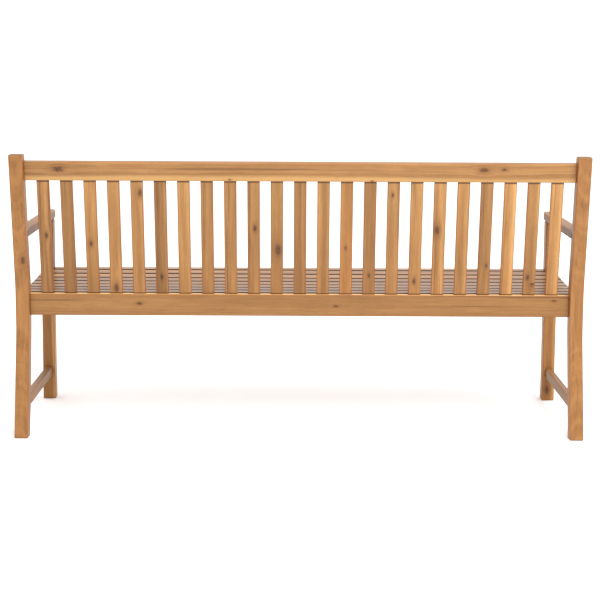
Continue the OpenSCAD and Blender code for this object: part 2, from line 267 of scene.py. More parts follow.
def boardLook(letter, seed, knots=(), **changes):
    # Shade by letter, then what this board changes. A knot is (share of length, place across, radius)
    look = dict(shades[letter], seed=seed, knots=knots, pith=None, darkTop=0.0, paleTop=0.0, coolTop=0.0)
    look.update(changes)
    return look


pieces = []
shadingSettings = {"sharpFrom": math.radians(42), "faceWeight": 60}


def finishBoard(piece, node, measure, board, material):
    # Grain marks, material and even shading, and the frame node that the board stands for
    markGrain(piece, measure, board)
    piece.data.materials.clear()
    piece.data.materials.append(material)
    piece.data.shade_smooth()
    piece.data.set_sharp_from_angle(angle=shadingSettings["sharpFrom"])
    weigh = piece.modifiers.new("even faces", "WEIGHTED_NORMAL")
    weigh.keep_sharp = True
    weigh.weight = shadingSettings["faceWeight"]
    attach(piece, "root")
    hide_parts(node)
    pieces.append(piece)


arrisSway = {"seedStep": 500, "boards": 0.16, "posts": 0.18}     # hand sanding makes an arris uneven


def straightBoard(node, start, alongAxis, length, wideAxis, thickAxis, halfWide, halfThick,
                  board, material, arris=0.0025, rounds=(0.001, 0.001), step=0.022, holes=()):
    # Straight board: the section is carried from the start along one axis
    along, drawIn = stations(length, step, *rounds)
    centres = start + along[:, None] * alongAxis
    uneven = sway(along, board["seed"] + arrisSway["seedStep"])
    soft = arris * (1 + arrisSway["boards"] * uneven)
    vertices, faces = carried(
        centres, wideAxis, thickAxis, halfWide - drawIn, halfThick - drawIn, soft)
    piece = meshObject(node + "_wood", vertices, faces)
    if holes:
        cutHoles(piece, holes)
    measure = straightMeasure(start, alongAxis, wideAxis, thickAxis, length, halfWide, halfThick)
    finishBoard(piece, node, measure, board, material)


# Materials

def tint(red, green, blue):
    # Screen colour from 0 to 255 turned into light: ((c + 0.055) / 1.055) ** 2.4
    share = np.array([red, green, blue]) / 255
    light = np.where(share <= 0.04045, share / 12.92, ((share + 0.055) / 1.055) ** 2.4)
    return (*light.tolist(), 1.0)


def newMaterial(name):
    # Material with an empty node tree
    material = bpy.data.materials.new(name)
    material.use_nodes = True
    material.node_tree.nodes.clear()
    return material, material.node_tree


def addNode(tree, kind, inputs=None, **settings):
    # Node whose inputs are linked where the value is a socket, and set where it is a number
    made = tree.nodes.new("ShaderNode" + kind)
    for key, value in settings.items():
        setattr(made, key, value)
    for key, value in (inputs or {}).items():
        if isinstance(value, bpy.types.NodeSocket):
            tree.links.new(value, made.inputs[key])
        else:
            made.inputs[key].default_value = value
    return made


def sums(tree, operation, *values):
    # One step of arithmetic on the values
    return addNode(tree, "Math", dict(enumerate(values)), operation=operation).outputs[0]


def spread(tree, value, low, high, toLow=0.0, toHigh=1.0):
    # Smooth step from one range to another
    inputs = {"Value": value, "From Min": low, "From Max": high, "To Min": toLow, "To Max": toHigh}
    return addNode(tree, "MapRange", inputs, interpolation_type="SMOOTHSTEP").outputs[0]


def parts(tree, name):
    # The three parts of a vector that the mesh stores
    read = addNode(tree, "Attribute", attribute_name=name, attribute_type="GEOMETRY")
    return addNode(tree, "SeparateXYZ", {0: read.outputs["Vector"]}).outputs


def stretched(tree, x, y, z, scales):
    # A place with each of its directions scaled, so that noise there is drawn out along the grain
    scaled = [sums(tree, "MULTIPLY", value, scale) for value, scale in zip((x, y, z), scales)]
    return addNode(tree, "CombineXYZ", dict(enumerate(scaled))).outputs[0]


def noise(tree, vector, detail=2.0, rough=0.5):
    # Noise from 0 to 1 at a place that is already scaled
    inputs = {"Vector": vector, "Scale": 1.0, "Detail": detail, "Roughness": rough}
    return addNode(tree, "TexNoise", inputs).outputs[0]


def mixed(tree, share, first, second, blend="MIX"):
    # first * (1 - share) + second * share, or first times second where they multiply
    made = addNode(tree, "Mix", {0: share, 6: first, 7: second}, data_type="RGBA", blend_type=blend)
    return made.outputs[2]


def added(tree, *values):
    # Sum of all the values
    total = values[0]
    for value in values[1:]:
        total = sums(tree, "ADD", total, value)
    return total


def about(tree, value, depth):
    # Noise from 0 to 1 becomes -depth / 2 to depth / 2: value * depth - depth / 2
    return sums(tree, "MULTIPLY_ADD", value, depth, -depth / 2)


def away(tree, first, second):
    # Distance: square root of the sum of the two squares
    squares = added(tree, sums(tree, "POWER", first, 2.0), sums(tree, "POWER", second, 2.0))
    return sums(tree, "SQRT", squares)


def lineNoise(tree, way, detail, rough):
    # Noise of a single number, for rings
    inputs = {"W": way, "Scale": 1.0, "Detail": detail, "Roughness": rough}
    return addNode(tree, "TexNoise", inputs, noise_dimensions="1D").outputs[0]


# How closely each kind of noise repeats per metre: along, across and through the board
grainScales = {
    "slow": (1.3, 2.5, 2.5), "quick": (6, 12, 12), "fibre": (11, 330, 330), "broad": (1.7, 9, 9),
    "stripe": (1.1, 70, 70), "pore": (90, 1500, 1500), "mottle": (9, 60, 60), "streak": (1.0, 95, 95),
    "knotEdge": (260, 420, 420), "crack": (420, 900, 900),
}

# Ranges are for spread: from, to, and the values there where they aren't 0 and 1
knotSettings = {
    "long": 2.0, "ragged": 5.0, "rings": 7.0,     # length over width, edge noise, rings in a radius
    "push": (0.4, 4.2, 0.8, 0.0), "halo": (0.4, 3.4, 0.42, 0.0), "heart": (0.3, 1.4, 0.5, 0.0),
    "core": (0.2, 1.0, 1.0, 0.0), "rimInside": (0.55, 0.9), "rimOutside": (0.95, 1.3, 1.0, 0.0),
    "crack": (0.46, 0.56), "patch": (0.42, 0.62),
}
figureSettings = {
    "slowWave": 0.030, "quickWave": 0.0036,       # how far the fibres wander sideways
    "ring": (0.25, 0.75), "pore": (0.62, 0.74), "darkStop": 0.12, "midStop": 0.5, "paleStop": 0.86,
    "streakSoft": 0.1, "sapWave": 0.8, "sap": (-0.25, -0.75), "redGain": 0.8, "blueLoss": 1.2,
}
surfaceSettings = {
    "arrisFrom": 0.0003, "arrisWander": 0.004, "sideShadeReach": (0.0006, 0.0032), "sky": (0.55, 0.95),
    "fibreRough": 0.16, "broadRough": 0.12, "rimRough": 0.1,
    "fibreHeight": 0.55, "bandHeight": 0.35, "poreHeight": 0.7, "rimHeight": 0.6, "bumpDistance": 0.0005,
}


def knotShape(tree, board):
    # Way to the nearest knot in knot radii, with its long axis shortened, and the same with a ragged edge
    knot, settings = board["knot"], knotSettings
    way = away(tree, sums(tree, "DIVIDE", knot[0], settings["long"]), knot[1])
    reach = sums(tree, "DIVIDE", way, knot[2])
    ragged = noise(tree, stretched(tree, *board["grain"], grainScales["knotEdge"]), 3.0, 0.75)
    edge = added(tree, reach, about(tree, ragged, settings["ragged"]))
    rim = sums(tree, "MULTIPLY", spread(tree, edge, *settings["rimInside"]),
               spread(tree, edge, *settings["rimOutside"]))
    return {"reach": reach, "ragged": ragged, "edge": edge, "rim": rim}


def woodFigure(tree, look, board, reach):
    # Fibres wander in slow and quick waves, and a knot pushes them aside by its own way times the push.
    # Growth bands are noise of the distance from the pith plus a taper along the board
    grain, plank, pith = board["grain"], board["plank"], board["pith"]
    settings = figureSettings
    slow = noise(tree, stretched(tree, *grain, grainScales["slow"]), 1.0)
    quick = noise(tree, stretched(tree, *grain, grainScales["quick"]), 1.0)
    push = spread(tree, reach, *knotSettings["push"])
    aside = sums(tree, "SUBTRACT", grain[1], sums(tree, "MULTIPLY", board["knot"][1], push))
    wave = added(tree, about(tree, slow, settings["slowWave"]), about(tree, quick, settings["quickWave"]))
    across = added(tree, aside, wave)

    fromPith = added(tree, plank[1], sums(tree, "SUBTRACT", across, grain[1]))
    ringWay = away(tree, added(tree, fromPith, pith[0]), added(tree, plank[2], pith[1]))
    ringWay = added(tree, ringWay, sums(tree, "MULTIPLY", grain[0], look["taper"]))
    ringCo = added(tree, sums(tree, "MULTIPLY", ringWay, look["bandsPerMetre"]), pith[2])
    figure = {"slow": slow, "bands": spread(tree, lineNoise(tree, ringCo, 3.0, 0.62), *settings["ring"])}

    # Detail and roughness of the noises that follow the fibres
    kinds = {"fibre": (4.0, 0.7), "broad": (2.0, 0.5), "stripe": (2.0, 0.6), "pore": (1.0, 0.5),
             "mottle": (4.0, 0.6), "streak": (4.0, 0.6)}
    for kind, (detail, rough) in kinds.items():
        place = stretched(tree, grain[0], across, grain[2], grainScales[kind])
        figure[kind] = noise(tree, place, detail, rough)
    figure["pores"] = spread(tree, figure["pore"], *settings["pore"])
    return figure


def figureColour(tree, look, figure):
    # One number from dark to pale: a half, plus each kind of figure about its middle times its depth
    shade = sums(tree, "MULTIPLY_ADD", figure["bands"], look["bandDepth"], 0.5 - look["bandDepth"] / 2)
    for kind in ("fibre", "broad", "stripe", "mottle"):
        shade = added(tree, shade, about(tree, figure[kind], look[kind + "Depth"]))
    paint = addNode(tree, "ValToRGB", {0: shade})
    stops = paint.color_ramp.elements
    stops[0].position, stops[0].color = figureSettings["darkStop"], tint(*look["dark"])
    stops[1].position, stops[1].color = figureSettings["paleStop"], tint(*look["pale"])
    stops.new(figureSettings["midStop"]).color = tint(*look["mid"])
    return paint.outputs[0]


def streakedColour(tree, look, board, figure, colour):
    # Mineral streaks where their noise is high, pale sapwood along one side, then dark pores
    settings = figureSettings
    streaks = spread(tree, figure["streak"], look["streakFrom"], look["streakFrom"] + settings["streakSoft"],
                     0.0, look["streakDepth"])
    colour = mixed(tree, streaks, colour, tint(*look["streak"]))
    share = sums(tree, "DIVIDE", board["side"][0], board["size"][0])
    sapSide = added(tree, share, about(tree, figure["slow"], settings["sapWave"]))
    sap = sums(tree, "MULTIPLY", spread(tree, sapSide, *settings["sap"]), board["tone"][2])
    colour = mixed(tree, sap, colour, tint(*look["sap"]))
    pores = sums(tree, "MULTIPLY", figure["pores"], look["poreDepth"])
    return mixed(tree, pores, colour, tint(*look["streak"]))


def tonedColour(tree, tone, colour):
    # Colour times the shade, with red times 1 + gain * redness and blue times 1 - loss * redness
    moreRed = sums(tree, "MULTIPLY_ADD", tone[1], figureSettings["redGain"], 1.0)
    lessBlue = sums(tree, "MULTIPLY_ADD", tone[1], -figureSettings["blueLoss"], 1.0)
    red, blue = sums(tree, "MULTIPLY", tone[0], moreRed), sums(tree, "MULTIPLY", tone[0], lessBlue)
    shade = addNode(tree, "CombineColor", {0: red, 1: tone[0], 2: blue}).outputs[0]
    return mixed(tree, 1.0, colour, shade, "MULTIPLY")


def knottedColour(tree, look, board, knots, colour):
    # Rusty halo, ringed brown heart, then the stronger of a cracked core and a patchy rim
    settings, edge = knotSettings, knots["edge"]
    halo, rim = tint(*look["knotHalo"]), tint(*look["knotRim"])
    colour = mixed(tree, spread(tree, knots["reach"], *settings["halo"]), colour, halo)
    rings = lineNoise(tree, sums(tree, "MULTIPLY", edge, settings["rings"]), 1.0, 0.5)
    colour = mixed(tree, spread(tree, edge, *settings["heart"]), colour, mixed(tree, rings, rim, halo))
    crackNoise = noise(tree, stretched(tree, *board["grain"], grainScales["crack"]), 2.0)
    crack = spread(tree, crackNoise, *settings["crack"])
    core = sums(tree, "MULTIPLY", spread(tree, edge, *settings["core"]), crack)
    patchy = sums(tree, "MULTIPLY", knots["rim"], spread(tree, knots["ragged"], *settings["patch"]))
    return mixed(tree, sums(tree, "MAXIMUM", core, patchy), colour, rim)


def edgeAndShadeColour(tree, look, board, broad, colour):
    # The way to an arris is the larger of the ways to the two sides. Each arris gets an orange-brown band,
    # partly the wood's own edge colour and partly painted shade along the lines between boards. The narrow
    # sides get painted shade, near black on the rear sides of the seat slats for the shaded gaps between
    # them. The ends are darker, partly end grain, which drinks oil, and partly painted shade where a slat
    # runs into a rail
    side, size, settings = board["side"], board["size"], surfaceSettings
    toSide = [sums(tree, "SUBTRACT", size[k], sums(tree, "ABSOLUTE", side[k])) for k in range(3)]
    arrisWay = sums(tree, "MAXIMUM", toSide[0], toSide[1])
    wander = settings["arrisWander"]
    # Orange-brown band along each arris: partly the wood's own edge colour, partly painted shade darkening
    # the lines between boards
    arrisBand = sums(tree, "MULTIPLY_ADD", broad, wander, look["edgeWide"] - wander / 2)
    arrises = spread(tree, arrisWay, settings["arrisFrom"], arrisBand, look["edgeDepth"], 0.0)
    colour = mixed(tree, arrises, colour, tint(*look["edge"]))
    # Painted shade on the narrow sides, on one side only where oneSide is set, for the shade between boards
    toShadedSide = sums(tree, "SUBTRACT", size[0], side[0]) if look["oneSide"] else toSide[0]
    sides = spread(tree, toShadedSide, *settings["sideShadeReach"], look["sideShadeDepth"], 0.0)
    colour = mixed(tree, sides, colour, tint(*look["side"]))
    # Darker ends: partly end grain, partly painted shade where a board runs into its neighbour
    ends = spread(tree, toSide[2], look["endFrom"], look["endTo"], look["endDepth"], 0.0)
    return mixed(tree, ends, colour, tint(*look["endGrainAndShade"]))


def paintedSheenColour(tree, look, fibre, colour):
    # Tops that face the sky get a painted sheen, a paler colour for the light they catch, most where the
    # fibre noise is high
    facing = addNode(tree, "SeparateXYZ", {0: addNode(tree, "NewGeometry").outputs["Normal"]}).outputs[2]
    uneven = sums(tree, "MULTIPLY_ADD", fibre, 0.5, 0.75)
    topSheen = sums(tree, "MULTIPLY", spread(tree, facing, *surfaceSettings["sky"]), uneven)
    topSheen = sums(tree, "MULTIPLY", topSheen, look["topSheen"])
    return mixed(tree, topSheen, colour, tint(*look["sheenTint"]))


def oiledShader(tree, look, figure, rim, colour):
    # Roughness and height are sums of the figure's parts, each times its own share
    settings = surfaceSettings
    fibreRough = settings["fibreRough"]
    rough = sums(tree, "MULTIPLY_ADD", figure["fibre"], fibreRough, look["rough"] - fibreRough / 2)
    rough = added(tree, rough, about(tree, figure["broad"], settings["broadRough"]))
    rough = sums(tree, "SUBTRACT", rough, sums(tree, "MULTIPLY", rim, settings["rimRough"]))
    height = added(tree, sums(tree, "MULTIPLY", figure["fibre"], settings["fibreHeight"]),
                   sums(tree, "MULTIPLY", figure["bands"], settings["bandHeight"]))
    height = sums(tree, "SUBTRACT", height, sums(tree, "MULTIPLY", figure["pores"], settings["poreHeight"]))
    height = sums(tree, "SUBTRACT", height, sums(tree, "MULTIPLY", rim, settings["rimHeight"]))
    bump = addNode(tree, "Bump", {
        "Height": height, "Strength": look["bump"], "Distance": settings["bumpDistance"]})
    shader = addNode(tree, "BsdfPrincipled", {
        "Base Color": colour, "Roughness": rough, "Normal": bump.outputs[0], "IOR": 1.45,
        "Specular IOR Level": look["gloss"]})
    addNode(tree, "OutputMaterial", {0: shader.outputs[0]})


def woodMaterial(name, look):
    # Acacia: figure, streaks and sapwood, the board's own tone, knots, arris bands and ends partly darkened
    # with painted shade, sides with painted shade, and a painted sheen on up-facing tops
    material, tree = newMaterial(name)
    board = {kind: parts(tree, kind + "Co") for kind in
             ("grain", "plank", "side", "size", "tone", "pith", "knot")}
    knots = knotShape(tree, board)
    figure = woodFigure(tree, look, board, knots["reach"])
    colour = figureColour(tree, look, figure)
    colour = streakedColour(tree, look, board, figure, colour)
    colour = tonedColour(tree, board["tone"], colour)
    colour = knottedColour(tree, look, board, knots, colour)
    colour = edgeAndShadeColour(tree, look, board, figure["broad"], colour)
    colour = paintedSheenColour(tree, look, figure["fibre"], colour)
    oiledShader(tree, look, figure, knots["rim"], colour)
    return material


baseLook = {
    "dark": (98, 64, 29), "mid": (135, 93, 50), "pale": (162, 118, 67),
    "streak": (81, 48, 23), "sap": (182, 140, 85), "edge": (142, 70, 20), "endGrainAndShade": (69, 42, 23),
    "knotHalo": (97, 54, 25), "knotRim": (26, 14, 8), "sheenTint": (139, 115, 95), "side": (116, 66, 28),
    "taper": 0.003, "bandsPerMetre": 120, "bandDepth": 0.28, "fibreDepth": 0.5, "broadDepth": 0.5,
    "stripeDepth": 0.36, "mottleDepth": 0.34, "streakFrom": 0.56, "streakDepth": 0.6, "poreDepth": 0.5,
    "edgeWide": 0.0042, "edgeDepth": 0.55, "sideShadeDepth": 0.0, "oneSide": False,
    "endFrom": 0.0004, "endTo": 0.0035, "endDepth": 0.6,
    # The first number is the strength of the painted sheen on tops that face up
    "topSheen": 0.2, "rough": 0.46, "bump": 0.35, "gloss": 0.3,
}
postLook = dict(baseLook, dark=(97, 62, 28), mid=(133, 90, 47), pale=(155, 111, 63), bandDepth=0.2,
                mottleDepth=0.16, stripeDepth=0.45, streakDepth=0.35)
railLook = dict(baseLook, mid=(133, 92, 50), pale=(159, 116, 69), edgeDepth=0.35, stripeDepth=0.28,
                bandDepth=0.2, broadDepth=0.36, topSheen=0.15)
# The rear seat rail's own copy, with a strong golden painted highlight along its up-facing top
seatRailLook = dict(railLook, topSheen=0.75, sheenTint=(214, 164, 98))
# Back slats: painted shade on their narrow sides, and strong painted shade 6 to 9 mm in from each end, where
# they run into the rails
slatLook = dict(baseLook, bandsPerMetre=150, sideShadeDepth=0.55, endFrom=0.0060, endTo=0.0090, endDepth=0.92,
                stripeDepth=0.46)
# Seat slats: near-black painted shade on the rear narrow side for the shaded gaps between them, and a slight
# painted sheen on the tops
seatLook = dict(baseLook, dark=(103, 66, 27), mid=(142, 95, 47), pale=(171, 121, 64), topSheen=0.06, rough=0.34,
                gloss=0.31, side=(14, 9, 6), sideShadeDepth=1.0, oneSide=True)
# Arms: painted shade on their narrow sides and a grey painted sheen on their tops
armLook = dict(baseLook, side=(92, 64, 48), sideShadeDepth=0.5, topSheen=0.3, rough=0.5, gloss=0.35,
               sheenTint=(127, 102, 90))


def steelMaterial(name, look):
    # Satin stainless steel: blotches and fine turning marks from Object coordinates
    material, tree = newMaterial(name)
    place = addNode(tree, "TexCoord").outputs["Object"]
    blotchInputs = {"Vector": place, "Scale": look["blotchScale"], "Detail": 3.0}
    blotch = addNode(tree, "TexNoise", blotchInputs).outputs[0]
    markInputs = {"Vector": place, "Scale": look["markScale"], "Detail": 1.0}
    marks = addNode(tree, "TexNoise", markInputs).outputs[0]
    colour = mixed(tree, spread(tree, blotch, *look["blotch"]), tint(*look["dull"]), tint(*look["bright"]))
    rough = sums(tree, "MULTIPLY_ADD", blotch, look["blotchRough"], look["rough"] - look["blotchRough"] / 2)
    bump = addNode(tree, "Bump", {"Height": marks, "Strength": look["bump"], "Distance": look["markHeight"]})
    shader = addNode(tree, "BsdfPrincipled", {
        "Base Color": colour, "Roughness": rough, "Metallic": 1.0, "Normal": bump.outputs[0]})
    addNode(tree, "OutputMaterial", {0: shader.outputs[0]})
    return material


def dowelMaterial(name, look):
    # Beech dowels: pale wood with fibres drawn out along X
    material, tree = newMaterial(name)
    place = addNode(tree, "TexCoord").outputs["Object"]
    x, y, z = addNode(tree, "SeparateXYZ", {0: place}).outputs
    fibre = noise(tree, stretched(tree, x, y, z, look["fibreScales"]), 3.0)
    colour = mixed(tree, fibre, tint(*look["dark"]), tint(*look["pale"]))
    rough = sums(tree, "MULTIPLY_ADD", fibre, look["fibreRough"], look["rough"])
    bump = addNode(tree, "Bump", {"Height": fibre, "Strength": look["bump"], "Distance": look["fibreHeight"]})
    shader = addNode(tree, "BsdfPrincipled", {
        "Base Color": colour, "Roughness": rough, "Normal": bump.outputs[0]})
    addNode(tree, "OutputMaterial", {0: shader.outputs[0]})
    return material


postWood = woodMaterial("post acacia", postLook)
railWood = woodMaterial("rail acacia", railLook)
seatRailWood = woodMaterial("rear seat rail acacia", seatRailLook)
slatWood = woodMaterial("back slat acacia", slatLook)
seatWood = woodMaterial("seat slat acacia", seatLook)
armWood = woodMaterial("arm acacia", armLook)
steelLook = {
    "dull": (142, 142, 146), "bright": (196, 196, 198), "rough": 0.38, "blotch": (0.35, 0.7),
    "blotchScale": 420.0, "blotchRough": 0.3, "markScale": 2600.0, "markHeight": 0.0001, "bump": 0.2,
}
beechLook = {
    "dark": (186, 144, 100), "pale": (224, 188, 142), "rough": 0.45, "fibreRough": 0.2,
    "fibreScales": (60, 900, 900), "fibreHeight": 0.0003, "bump": 0.3,
}
plainSteel = steelMaterial("satin stainless steel", steelLook)
beech = dowelMaterial("beech dowel", beechLook)
print("materials made")

# The leaning back

backSettings = {
    "lean": math.radians(9.7),       # how far the back leans
    "railHigh": 0.060,
    "railThick": 0.022,
    "slatThick": 0.012,
    "slatSetBack": 0.003,            # middle of a slat behind the middle of the rail
    "footSink": 0.003,               # how far a slat runs on into each rail
    "shades": "wpvepppmerpemmmmpeqpqdm",
    "coolTop": 0.08,                 # how much less red a slat is at its top
    # The fade is painted shade near the seat, fitted slat by slat
    "paleTop": 0.12,                 # how much paler a slat is at its top than at its foot
    # The slats that fade more, or the other way
    "paleTops": {1: 0.24, 3: 0.24, 5: 0.24, 10: -0.18, 17: 0.20, 18: 0.22, 21: 0.42, 22: 0.26, 23: 0.34},
    "railArris": 0.003,
    "slatArris": 0.0022,
    "railKnots": [(0.938, 0.007, 0.0075), (0.168, 0.010, 0.0065), (0.131, 0.012, 0.0035),
                  (0.628, -0.024, 0.002), (0.370, -0.027, 0.002)],
    "slatKnots": {
        2: [(0.17, 0.006, 0.005), (0.12, -0.010, 0.006)], 4: [(0.27, -0.007, 0.003)],
        6: [(0.58, 0.007, 0.007)], 7: [(0.13, 0.002, 0.005)], 8: [(0.88, 0.003, 0.0035)],
        9: [(0.18, 0.0, 0.0035)], 10: [(0.42, 0.002, 0.003)], 13: [(0.40, -0.004, 0.009)],
        14: [(0.59, -0.004, 0.005)], 18: [(0.16, 0.0, 0.005)], 19: [(0.89, -0.010, 0.006)],
        20: [(0.06, 0.0, 0.007)], 21: [(0.45, 0.002, 0.0045)], 23: [(0.52, -0.004, 0.005)],
    },
}
upBack = np.array([0.0, math.sin(backSettings["lean"]), math.cos(backSettings["lean"])])
outBack = np.array([0.0, math.cos(backSettings["lean"]), -math.sin(backSettings["lean"])])

holeSettings = {
    "sinkRadius": 0.010, "sinkDepth": 0.008,      # for the bolt heads, in the legs
    "nutRadius": 0.0051, "nutIn": 0.025,          # in from the end of its rail
    "nutPast": 0.0075,                            # how far a bore runs past the middle of its rail
    "seatRailBolts": 0.020, "apronBolts": 0.015,  # distance of each bolt from the middle of its rail
    "slack": 0.001,                               # how far a cutter stands out of the face
}


def boltSink(side, y, z):
    # Round recess in the outer face of a leg, for a bolt head and its washer
    outer = cadHigh[0] + holeSettings["slack"]
    inner = cadHigh[0] - holeSettings["sinkDepth"]
    centres = [[side * outer, y, z], [side * inner, y, z]]
    return turned(centres, [holeSettings["sinkRadius"]] * 2, yAxis, zAxis)


def nutBore(side, middle, way, halfRail):
    # Blind bore for a barrel nut, open on the face that the way points to
    x = side * (innerX - holeSettings["nutIn"])
    middle = np.array([x, middle[1], middle[2]])
    start = middle - way * holeSettings["nutPast"]
    end = middle + way * (halfRail + holeSettings["slack"])
    return turned([start, end], [holeSettings["nutRadius"]] * 2, xAxis, np.cross(way, xAxis))


railLow, railHigh = corners("top_rail")
topMiddle = (railLow + railHigh) / 2
innerX = railHigh[0]
seatRailLow, seatRailHigh = corners("rear_seat_rail")
seatRailMiddle = (seatRailLow + seatRailHigh) / 2
apronLow, apronHigh = corners("front_apron")
apronMiddle = (apronLow + apronHigh) / 2


def makeTopRail():
    # Board that leans with the back, with a bore for a barrel nut near each end
    length = 2 * innerX
    start = np.array([-innerX, topMiddle[1], topMiddle[2]])
    holes = [nutBore(side, topMiddle, -outBack, backSettings["railThick"] / 2) for side in (-1, 1)]
    board = boardLook("q", 11, backSettings["railKnots"], sap=0.55, pith=0.03, tone=1.11, red=-0.06)
    straightBoard("top_rail", start, xAxis, length, upBack, outBack, backSettings["railHigh"] / 2,
                  backSettings["railThick"] / 2, board, railWood,
                  backSettings["railArris"], holes=holes)


def makeBackSlats():
    # The foot of a slat lies down the back by (foot height - seat rail's top) / cos(lean)
    foot = topMiddle + outBack * backSettings["slatSetBack"] - upBack * backSettings["railHigh"] / 2
    run = (foot[2] - seatRailHigh[2]) / upBack[2]
    low = foot - upBack * (run + backSettings["footSink"])
    length = run + 2 * backSettings["footSink"]
    for number, letter in enumerate(backSettings["shades"], 1):
        node = f"back_slat_{number:02d}"
        slatLow, slatHigh = corners(node)
        start = np.array([(slatLow[0] + slatHigh[0]) / 2, low[1], low[2]])
        paleTop = backSettings["paleTops"].get(number, backSettings["paleTop"])
        knots = backSettings["slatKnots"].get(number, ())
        board = boardLook(letter, 100 + number, knots, paleTop=paleTop, coolTop=backSettings["coolTop"])
        straightBoard(node, start, upBack, length, xAxis, outBack, (slatHigh[0] - slatLow[0]) / 2,
                      backSettings["slatThick"] / 2, board, slatWood, backSettings["slatArris"])


makeTopRail()
makeBackSlats()
print("back made")

# Rails across the bench

crossSettings = {
    "seatRailArris": 0.003, "apronArris": 0.002,
    "seatRailKnots": [(0.797, 0.004, 0.004), (0.433, -0.002, 0.003), (0.028, 0.018, 0.003)],
    "apronKnots": [(0.31, 0.008, 0.006), (0.72, -0.012, 0.004)],
}


def makeCrossRails():
    # Rear seat rail and front apron, each with two barrel nut bores at each end
    half = (seatRailHigh - seatRailLow) / 2
    start = np.array([-innerX, seatRailMiddle[1], seatRailMiddle[2]])
    lift = holeSettings["seatRailBolts"]
    holes = [nutBore(side, seatRailMiddle + zAxis * step, -yAxis, half[1])
             for side in (-1, 1) for step in (-lift, lift)]
    board = boardLook("m", 21, crossSettings["seatRailKnots"], pith=-0.02, tone=0.88)
    straightBoard("rear_seat_rail", start, xAxis, 2 * innerX, zAxis, yAxis, half[2], half[1],
                  board, seatRailWood, crossSettings["seatRailArris"], holes=holes)
    half = (apronHigh - apronLow) / 2
    start = np.array([-innerX, apronMiddle[1], apronMiddle[2]])
    lift = holeSettings["apronBolts"]
    holes = [nutBore(side, apronMiddle + zAxis * step, yAxis, half[1])
             for side in (-1, 1) for step in (-lift, lift)]
    board = boardLook("q", 22, crossSettings["apronKnots"])
    straightBoard("front_apron", start, xAxis, 2 * innerX, zAxis, yAxis, half[2], half[1],
                  board, railWood, crossSettings["apronArris"], holes=holes)


makeCrossRails()

# Seat

seatSettings = {
    "slatWide": 0.0474, "slatThick": 0.019, "arris": 0.003, "frameArris": 0.003,
    "firstSlatScrewIn": 0.077,           # from the inner face of the front legs
    # Height over the slat's face and radius of each ring of a countersink
    "countersink": [(-0.0055, 0.00189), (-0.0028, 0.0021), (-0.0007, 0.0042), (0.001, 0.0042)],
    "endRound": 0.0025, "firstEndRound": 0.0008,     # the first slat lies between the legs
    "shades": "qmpemqdm",
    "knots": {1: [(0.22, 0.006, 0.004)], 3: [(0.62, -0.01, 0.005)], 5: [(0.35, 0.008, 0.0045)],
              8: [(0.81, 0.004, 0.006), (0.28, -0.01, 0.004)]},
}
dishSettings = {
    "step": 0.014, "endRound": 0.0008, "clear": 0.0001, "arris": 0.002,
    "plankMiddle": 0.03,                 # height of the grain's middle above the underside
}
bearerLow, bearerHigh = corners("bearer_right")
bearerX = (bearerLow[0] + bearerHigh[0]) / 2
legLow, legHigh = corners("front_leg_right")
legX = (legLow[0] + legHigh[0]) / 2


def seatSlatPlaces():
    # Middle and tilt of each seat slat. A slat's box is as high as
    # (wide - 2r) * sin(tilt) + (thick - 2r) * cos(tilt) + 2r, which gives the tilt back
    r = seatSettings["frameArris"]
    wide, thick = seatSettings["slatWide"] - 2 * r, seatSettings["slatThick"] - 2 * r
    span, lead = math.hypot(wide, thick), math.atan2(thick, wide)
    places = []
    for number in range(1, len(seatSettings["shades"]) + 1):
        low, high = corners(f"seat_slat_{number}")
        share = min(1.0, (high[2] - low[2] - 2 * r) / span)
        places.append([(low + high) / 2, max(0.0, math.asin(share) - lead), high[0]])
    heights = [place[0][2] for place in places]
    lowest = int(np.argmin(heights))
    for k, place in enumerate(places):
        place[1] = place[1] if k > lowest else -place[1]
    return places


def screwSink(middle, up, x):
    # Countersink: a cone from the shank to the head, then a short straight way up through the face
    top = middle + up * seatSettings["slatThick"] / 2
    top = np.array([x, top[1], top[2]])
    depths, radii = np.array(seatSettings["countersink"]).T
    return turned(top + depths[:, None] * up, radii, xAxis, np.cross(up, xAxis), 20)


def makeSeatSlats(places):
    # Boards along the bench, turned by their tilt, each with four countersinks for its screws
    for number, (middle, tilt, half) in enumerate(places, 1):
        across = np.array([0.0, math.cos(tilt), math.sin(tilt)])
        up = np.array([0.0, -math.sin(tilt), math.cos(tilt)])
        ends = innerX - seatSettings["firstSlatScrewIn"] if number == 1 else legX
        holes = [screwSink(middle, up, side * x) for side in (-1, 1) for x in (bearerX, ends)]
        start = np.array([-half, middle[1], middle[2]])
        knots = seatSettings["knots"].get(number, ())
        board = boardLook(seatSettings["shades"][number - 1], 200 + number, knots)
        endRound = seatSettings["firstEndRound"] if number == 1 else seatSettings["endRound"]
        straightBoard(f"seat_slat_{number}", start, xAxis, 2 * half, across, up, seatSettings["slatWide"] / 2,
                      seatSettings["slatThick"] / 2, board, seatWood, seatSettings["arris"],
                      (endRound, endRound), holes=holes)


